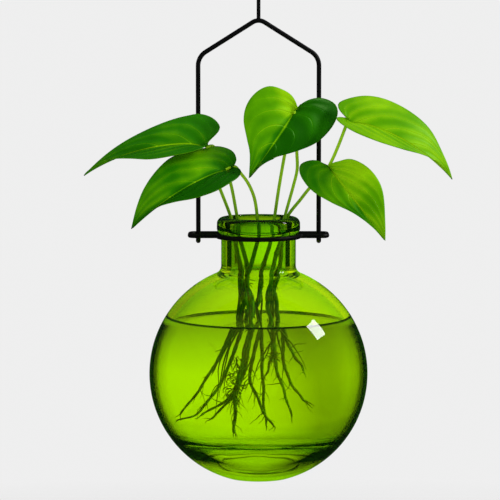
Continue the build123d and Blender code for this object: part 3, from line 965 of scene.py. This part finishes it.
# Stems, from the leaf down. Spray points are shares of the spray's sizes, bore points of the bore's
# radius, and bowl and root points of the hollow's radius. A side leaf's branch leaves the stem
# halfway from the spray point that side_node numbers to the next. A knot of hair has a place in
# the bowl, a reach in millimetres and a number of hairs.
stems = {
    "upper_left": {
        "leaf": "leaf_upper_left",
        "spray_shares": [(-0.23, -0.47, 0.71), (-0.19, -0.33, 0.605), (-0.145, -0.25, 0.42)],
        "bore_shares": [(-0.74, -0.61), (-0.61, -0.50), (-0.37, -0.25)],
        "bowl_shares": [(-0.11, -0.06, 0.83), (-0.12, -0.04, 0.56), (-0.13, -0.02, 0.32)],
        "root_shares": [
            [(-0.27, -0.10, -0.03), (-0.47, -0.18, -0.285), (-0.63, -0.22, -0.36)],
        ],
        "hair_knots": [((-0.12, -0.04, 0.5), 3.5, 30), ((-0.22, -0.08, -0.02), 5.0, 16)],
    },
    "lower_left": {
        "leaf": "leaf_lower_left",
        "main_roots": 1,
        "spray_shares": [
            (-0.125, -0.61, 0.57), (-0.09, -0.52, 0.51), (-0.05, -0.41, 0.42),
            (-0.02, -0.31, 0.30),
        ],
        "bore_shares": [(-0.04, -0.91), (0.0, -0.72), (-0.34, -0.50)],
        "bowl_shares": [(-0.09, -0.12, 0.83), (-0.06, -0.13, 0.6), (-0.06, -0.12, 0.34)],
        "root_shares": [
            [(-0.11, -0.10, 0.10), (-0.17, -0.09, -0.11), (-0.18, -0.08, -0.475)],
            [(-0.11, -0.10, 0.02), (-0.24, -0.13, -0.18), (-0.45, -0.16, -0.31)],
            [(-0.12, -0.08, -0.02), (-0.24, -0.07, -0.22), (-0.36, -0.06, -0.345)],
        ],
        "hair_knots": [((-0.17, -0.10, -0.10), 8.0, 34), ((-0.14, -0.10, 0.08), 5.0, 30)],
    },
    "left_bud": {
        "leaf": None,
        "spray_shares": [(-0.24, -0.27, 0.53), (-0.2, -0.15, 0.37)],
        "bore_shares": [(-0.97, -0.25), (-0.84, -0.20), (-0.61, 0.0)],
        "bowl_shares": [(-0.16, 0.02, 0.83), (-0.17, 0.04, 0.6), (-0.17, 0.05, 0.34)],
        "root_shares": [
            [(-0.34, -0.02, 0.04), (-0.485, -0.06, -0.17), (-0.61, -0.10, -0.31)],
        ],
    },
    "middle_bud": {
        "leaf": None,
        "spray_shares": [(0.165, -0.33, 0.875), (0.136, -0.25, 0.645), (0.107, -0.155, 0.39)],
        "bore_shares": [(0.56, -0.32), (0.45, -0.22), (0.14, 0.07)],
        "bowl_shares": [(0.01, 0.04, 0.83), (0.0, 0.08, 0.6), (0.02, 0.10, 0.34)],
        "root_shares": [
            [(-0.06, 0.10, -0.02), (0.0, 0.12, -0.21), (0.10, 0.14, -0.415)],
            [(0.03, 0.14, -0.05), (0.05, 0.18, -0.40)],
        ],
    },
    "centre": {
        "leaf": "leaf_centre",
        "spray_shares": [
            (0.193, -0.48, 0.86), (0.197, -0.385, 0.67), (0.2, -0.29, 0.533), (0.18, -0.21, 0.395),
        ],
        "bore_shares": [(0.91, -0.43), (0.78, -0.33), (0.46, -0.21)],
        "bowl_shares": [(0.11, -0.05, 0.83), (0.10, -0.06, 0.6), (0.11, -0.05, 0.34)],
        "root_shares": [
            [(0.14, -0.08, 0.03), (0.20, -0.12, -0.135), (0.25, -0.14, -0.315)],
            [(0.10, -0.03, 0.14), (0.055, -0.04, -0.01)],
        ],
        "hair_knots": [((0.115, -0.06, 0.13), 3.4, 44), ((0.10, -0.05, 0.5), 3.0, 24)],
    },
    "right_vine": {
        "leaf": "leaf_upper_right",
        "side_leaf": "leaf_lower_right",
        "side_node": 2,
        "spray_shares": [
            (0.45, -0.52, 0.88), (0.362, -0.52, 0.57), (0.263, -0.29, 0.385),
            (0.218, -0.154, 0.29),
        ],
        "bore_shares": [(1.0, -0.20), (0.85, -0.16), (0.73, 0.04)],
        "bowl_shares": [(0.17, 0.02, 0.83), (0.17, 0.04, 0.6), (0.18, 0.06, 0.34)],
        "root_shares": [
            [(0.19, 0.08, 0.03), (0.30, 0.12, -0.19), (0.34, 0.14, -0.22)],
            [(0.235, 0.04, 0.175), (0.34, 0.02, 0.015)],
        ],
    },
}


# Sizes of the stems, in millimetres
stem_radius = 0.80
stem_swelling = 0.28
stem_swelling_depth = 25.0
knot_swelling = 0.42
knot_length_share = 0.012
sway_in_glass = 0.25
sway_in_bowl = 0.65
sway_in_bowl_depth = 12.0
crook_in_bowl = 0.35
branch_bow = 0.6
bud_length = 7.0
bud_radius = 1.0
bud_shares = ((0.0, 0.8), (0.25, 1.0), (0.5, 0.9), (0.8, 0.45), (1.0, 0.08))

# Sizes of the roots, in millimetres. Pairs are the least and the most.
root_radius = 0.82
main_root_radius = 1.25
root_sway = 0.35
root_to_wall = 2.0
root_to_floor = 1.5
tip_hair_length = 3.5
tip_hair_radius = 0.26
side_hair_lengths = (3.0, 9.0)
side_hair_radii = (0.14, 0.26)
knot_hair_radius = 0.22
aerial_root_start = 3.0
aerial_root_radius = 0.62
aerial_root_taper = 0.2
aerial_root_offsets = (1.5, 2.2)
trailing_root_radius = 0.42
trailing_root_lengths = (16, 38)
neck_hair_lengths = (1.5, 5.0)
neck_hair_radii = (0.2, 0.42)


def bowl_point(share):
    return Vector((0, 0, bowl_z)) + Vector(share) * cavity_radius


def leaf_underside(leaf_name):
    place, _ = leaf_frame(leaves[leaf_name])
    return place @ Vector((0, 0, -leaf_thickness - stem_under_leaf))


def stem_route(stem):
    points = [leaf_underside(stem["leaf"])] if stem["leaf"] else []
    points += [spray_point(share) for share in stem["spray_shares"]]
    for (x_share, y_share), height in zip(stem["bore_shares"], (lip_height, 0, -neck_length)):
        points.append(Vector((x_share * bore_radius, y_share * bore_radius, height)))
    return points + [bowl_point(share) for share in stem["bowl_shares"]]


def stem_line(stem):
    return even(smooth_through(stem_route(stem), 10), 110)


def depth_share(start, height, depth):
    """Rises from 0 at the start to 1 a depth below it."""
    return min(1.0, max(0.0, (start - height) / depth))


def make_tubes(name, runs, slot, node, sides=3):
    """Round growing things: each run is a line of (point, radius) that a bevelled curve follows."""
    curve = bpy.data.curves.new(name, "CURVE")
    curve.dimensions = "3D"
    curve.bevel_depth = 1.0
    curve.bevel_resolution = sides
    curve.use_fill_caps = True
    for run in runs:
        spline = curve.splines.new("POLY")
        spline.points.add(len(run) - 1)
        for item, (point, radius) in zip(spline.points, run):
            item.co = (*point, 1)
            item.radius = radius
    maker = bpy.data.objects.new(name, curve)
    mesh = bpy.data.meshes.new_from_object(maker)
    bm = bmesh.new()
    bm.from_mesh(mesh)
    bpy.data.objects.remove(maker)
    bpy.data.meshes.remove(mesh)
    bpy.data.curves.remove(curve)
    finish_piece(bm, name, slot, node)


def make_stem_piece(name, stem, seed):
    """A stem that thickens towards the water, with ringed nodes and small bends of its own."""
    chance = random.Random(seed)
    points = stem_route(stem)
    line = stem_line(stem)
    knot_shares = [0.47 + chance.uniform(-0.03, 0.03), 0.66 + chance.uniform(-0.03, 0.03), 0.83, 0.985]
    run = []
    for number, point in enumerate(line):
        share = number / (len(line) - 1)
        in_glass = depth_share(lip_height, point.z, stem_swelling_depth)
        in_bowl = depth_share(-neck_length, point.z, sway_in_bowl_depth)
        radius = stem_radius + stem_swelling * in_glass
        for knot in knot_shares:
            radius += knot_swelling * in_glass * exp(-(((share - knot) / knot_length_share) ** 2))
        sway = sway_in_glass * in_glass + sway_in_bowl * in_bowl
        shift = Vector((sin(share * 31 + seed), cos(share * 27 + seed * 2), 0)) * sway
        shift.x += crook_in_bowl * in_bowl * sin(share * 83 + seed * 5)
        run.append((point + shift, radius))
    runs = [run]
    if not stem["leaf"]:
        bud = (points[0] - points[1]).normalized() * bud_length
        runs.append([(points[0] + bud * share, bud_radius * wide) for share, wide in bud_shares])
    if "side_leaf" in stem:
        node = stem["side_node"]
        fork = (points[node] + points[node + 1]) / 2
        end = leaf_underside(stem["side_leaf"])
        bow = (fork + end) / 2 + Vector((0, -branch_bow, -branch_bow))
        branch = even(smooth_through([fork, bow, end], 8), 14)
        runs.append([(point, stem_radius) for point in branch])
    make_tubes(f"stalk_{name}", runs, "stem_green", f"stem_{name}")


def grow_rootlet(chance, start, way, length, radius, steps=6, wander=0.38, droop=0.12):
    """A crooked hair that tapers to nothing and bends downwards inside the bowl."""
    point = start.copy()
    run = [(point.copy(), radius)]
    for step in range(steps):
        turn = Vector([chance.uniform(-1, 1) for _ in range(3)]) * wander
        way = (way + turn + Vector((0, 0, -droop))).normalized()
        point = point + way * (length / steps)
        from_middle = point - Vector((0, 0, bowl_z))
        if from_middle.length > cavity_radius - root_to_wall or point.z < floor_z + root_to_floor:
            break
        run.append((point.copy(), radius * (1 - 0.75 * (step + 1) / steps)))
    return run if len(run) > 2 else []


def any_way(chance, up=1.0):
    return Vector((chance.uniform(-1, 1), chance.uniform(-1, 1), chance.uniform(-1, up)))


def aerial_roots(chance, stem):
    """Thin roots that leave a stem in the neck, follow it down and trail into the water."""
    line = [point for point in stem_line(stem) if point.z < -aerial_root_start]
    runs = []
    for _ in range(2):
        first = int(len(line) * chance.uniform(0.02, 0.35))
        angle = chance.uniform(0, 2 * pi)
        aside = Vector((cos(angle), sin(angle), 0)) * chance.uniform(*aerial_root_offsets)
        stretch = line[first:]
        run = []
        for number, point in enumerate(stretch):
            share = number / (len(stretch) - 1)
            lean = sin(pi * min(1.0, share * 1.6) / 2) * (1 + 0.25 * sin(share * 14 + angle))
            run.append((point + aside * lean, aerial_root_radius - aerial_root_taper * share))
        runs.append(run)
        way = Vector((aside.x * 0.28, aside.y * 0.18, -1)).normalized()
        length = chance.uniform(*trailing_root_lengths)
        start = run[-1][0]
        trail = grow_rootlet(chance, start, way, length, trailing_root_radius, 16, 0.13, 0.02)
        runs.append(trail)
    for _ in range(22):
        spot = line[int(len(line) * chance.uniform(0.25, 0.99))]
        length = chance.uniform(*neck_hair_lengths)
        way = any_way(chance, up=0.2)
        runs.append(grow_rootlet(chance, spot, way, length, chance.uniform(*neck_hair_radii)))
    return runs


def root_run(start, route, thick, turn, seed):
    """One tapering root along its route. Turn and seed set where it wanders."""
    line = even(smooth_through([start] + [bowl_point(share) for share in route], 10), 60)
    run = []
    for count, point in enumerate(line):
        share = count / (len(line) - 1)
        wander = Vector((sin(share * 19 + seed + turn), cos(share * 23 + seed * 3), 0))
        radius = thick * (1 - 0.5 * share) * (1 + 0.10 * sin(share * 60 + seed))
        run.append((point + wander * root_sway * share, radius))
    return run


def root_hairs(chance, run, count):
    """Hairs along a root, most of them halfway down, and two at its tip."""
    hairs = []
    for _ in range(count):
        spot = int(chance.triangular(4, len(run) - 2, len(run) * 0.55))
        along = (run[spot + 1][0] - run[spot][0]).normalized()
        way = (along * 0.9 + any_way(chance) * 0.9).normalized()
        length = chance.uniform(*side_hair_lengths)
        hairs.append(grow_rootlet(chance, run[spot][0], way, length, chance.uniform(*side_hair_radii)))
    tip = run[-1][0]
    onward = (tip - run[-4][0]).normalized()
    for _ in range(2):
        way = (onward + any_way(chance) * 0.7).normalized()
        hairs.append(grow_rootlet(chance, tip, way, tip_hair_length, tip_hair_radius))
    return hairs


def make_root_piece(name, stem, seed):
    """Tapering roots that wander a little, with finer hairs along them and knots of hair."""
    chance = random.Random(seed)
    start = stem_route(stem)[-1]
    runs = aerial_roots(chance, stem)
    for number, route in enumerate(stem["root_shares"]):
        main = number < stem.get("main_roots", 0)
        run = root_run(start, route, main_root_radius if main else root_radius, number, seed)
        runs.append(run)
        runs += root_hairs(chance, run, 26 if main else 7)
    for share, reach, count in stem.get("hair_knots", []):
        middle = bowl_point(share)
        for _ in range(count):
            spot = middle + any_way(chance) * reach * 0.45
            length = chance.uniform(0.4, 1.0) * reach
            way = any_way(chance)
            hair = grow_rootlet(chance, spot, way, length, knot_hair_radius, 8, wander=0.6, droop=0.05)
            runs.append(hair)
    runs = [run for run in runs if run]
    make_tubes(f"rootlets_{name}", runs, "root_brown", f"roots_{name}", sides=2)


for name in ("hanging_hook", "hanger_frame", "collar_ring"):
    nodes[name].data.materials.clear()
    nodes[name].data.materials.append(materials["black_wire"])
for stem_seed, (stem_name, stem_table) in enumerate(stems.items()):
    make_stem_piece(stem_name, stem_table, stem_seed)
    make_root_piece(stem_name, stem_table, stem_seed + 11)
make_glass_piece()
make_water_piece()
shared_leaf_pattern = make_leaf_pattern()
for leaf_node, leaf_table in leaves.items():
    make_leaf_piece(leaf_node, leaf_table, shared_leaf_pattern)


# Floor, light and camera, in metres, watts and degrees, with the sensor's width in millimetres.
# A lamp's way leads from the ring to the lamp.
floor_height = -0.40
floor_radius = 0.7
floor_fade_radius = 0.25
backdrop_share = 0.86
diffuse_share = 0.62
side_shade_shares = ((0.0, 0.85), (0.12, 0.8), (0.29, 0.44), (0.35, 0.44), (0.50, 1.0))
window_way = (0.81, -0.09, 0.58)
front_way = (-0.45, -1.0, 0.55)
lamps = {
    "window_light": {"way": window_way, "distance": 1.4, "size": 0.36, "power": 6.2, "mirrored": True},
    "window_fill": {"way": window_way, "distance": 1.4, "size": 0.36, "power": 3.8, "mirrored": False},
    "front_fill": {"way": front_way, "distance": 1.8, "size": 0.9, "power": 5.0, "mirrored": False},
}
camera_distance = 1.5
camera_tilt = 5.5
sensor_width = 36.0
view_width = 0.2466
view_beside = -4.19 * mm
view_above = -6.95 * mm


def make_floor():
    """A pale round floor below the vase that fades into the backdrop at its edge."""
    material, tree = new_material("pale_floor")
    place = object_coordinates(tree)
    distance = add(tree, "ShaderNodeVectorMath", {"operation": "LENGTH"}, in_0=place).outputs["Value"]
    fade = remap(tree, distance, 0.0, 1.0, source=(floor_fade_radius, floor_radius))
    matt = principled(tree, Base_Color=grey(0.86), Roughness=0.9)
    clear = add(tree, "ShaderNodeBsdfTransparent").outputs[0]
    surface(tree, mix_shaders(tree, fade, matt, clear))
    bm = bmesh.new()
    bmesh.ops.create_circle(bm, cap_ends=True, radius=floor_radius, segments=96)
    mesh = bpy.data.meshes.new("floor")
    bm.to_mesh(mesh)
    bm.free()
    floor = place_object("floor", mesh)
    floor.location = (0, 0, floor_height)
    floor.visible_glossy = False
    floor.visible_transmission = False
    mesh.materials.append(material)


def make_world():
    """Even white surroundings, dimmer as light than as a backdrop, and shaded on one side where
    they are seen through the glass."""
    world = bpy.data.worlds.new("pale_room")
    scene.world = world
    world.use_nodes = True
    tree = world.node_tree
    tree.nodes.clear()
    rays = add(tree, "ShaderNodeLightPath").outputs
    way = add(tree, "ShaderNodeTexCoord").outputs["Generated"]
    split = add(tree, "ShaderNodeSeparateXYZ", in_0=way)
    rise = split.outputs[2]
    overhead = remap(tree, rise, low=0.95, high=0.6, source=(0.5, 0.85))
    beneath = remap(tree, rise, low=0.5, high=1.0, source=(-0.36, -0.12))
    aside = math_node(tree, "ADD", split.outputs[0], times(tree, rise, 0.35))
    aside = math_node(tree, "ADD", times(tree, aside, 0.5), 0.5)
    side_shade = grey_ramp(tree, aside, side_shade_shares)
    levels = {
        "Is Transmission Ray": times(tree, times(tree, overhead, beneath), side_shade),
        "Is Glossy Ray": remap(tree, rise, low=0.006, high=0.06, source=(0.0, 0.9)),
        "Is Diffuse Ray": diffuse_share,
    }
    strength = times(tree, rays["Is Camera Ray"], backdrop_share)
    for kind, level in levels.items():
        strength = math_node(tree, "MAXIMUM", strength, times(tree, rays[kind], level))
    background = add(tree, "ShaderNodeBackground", Color=grey(1.0), Strength=strength)
    output = add(tree, "ShaderNodeOutputWorld")
    tree.links.new(background.outputs[0], output.inputs["Surface"])


def make_lamp(name, lamp_table):
    """A square soft box that faces the ring."""
    data = bpy.data.lights.new(name, "AREA")
    data.shape = "SQUARE"
    data.size = lamp_table["size"]
    data.energy = lamp_table["power"]
    lamp = place_object(name, data)
    way = Vector(lamp_table["way"]).normalized()
    lamp.location = Vector((0, 0, ring_height * mm)) + way * lamp_table["distance"]
    lamp.rotation_euler = way.to_track_quat("Z", "Y").to_euler()
    lamp.visible_transmission = False
    lamp.visible_glossy = lamp_table["mirrored"]


def make_camera():
    """The photograph's view, from a little above the ring."""
    tilt = radians(camera_tilt)
    forward = Vector((0, cos(tilt), -sin(tilt)))
    up = Vector((0, sin(tilt), cos(tilt)))
    data = bpy.data.cameras.new("camera")
    data.sensor_width = sensor_width
    data.lens = sensor_width * camera_distance / view_width
    camera = place_object("camera", data)
    ring = Vector((0, swing_axis_y, ring_height)) * mm
    camera.location = ring - forward * camera_distance + Vector((view_beside, 0, 0)) + up * view_above
    camera.rotation_euler = Euler((pi / 2 - tilt, 0, 0))
    scene.camera = camera


make_floor()
make_world()
for lamp_name, lamp_table in lamps.items():
    make_lamp(lamp_name, lamp_table)
make_camera()
scene.view_settings.view_transform = "Standard"
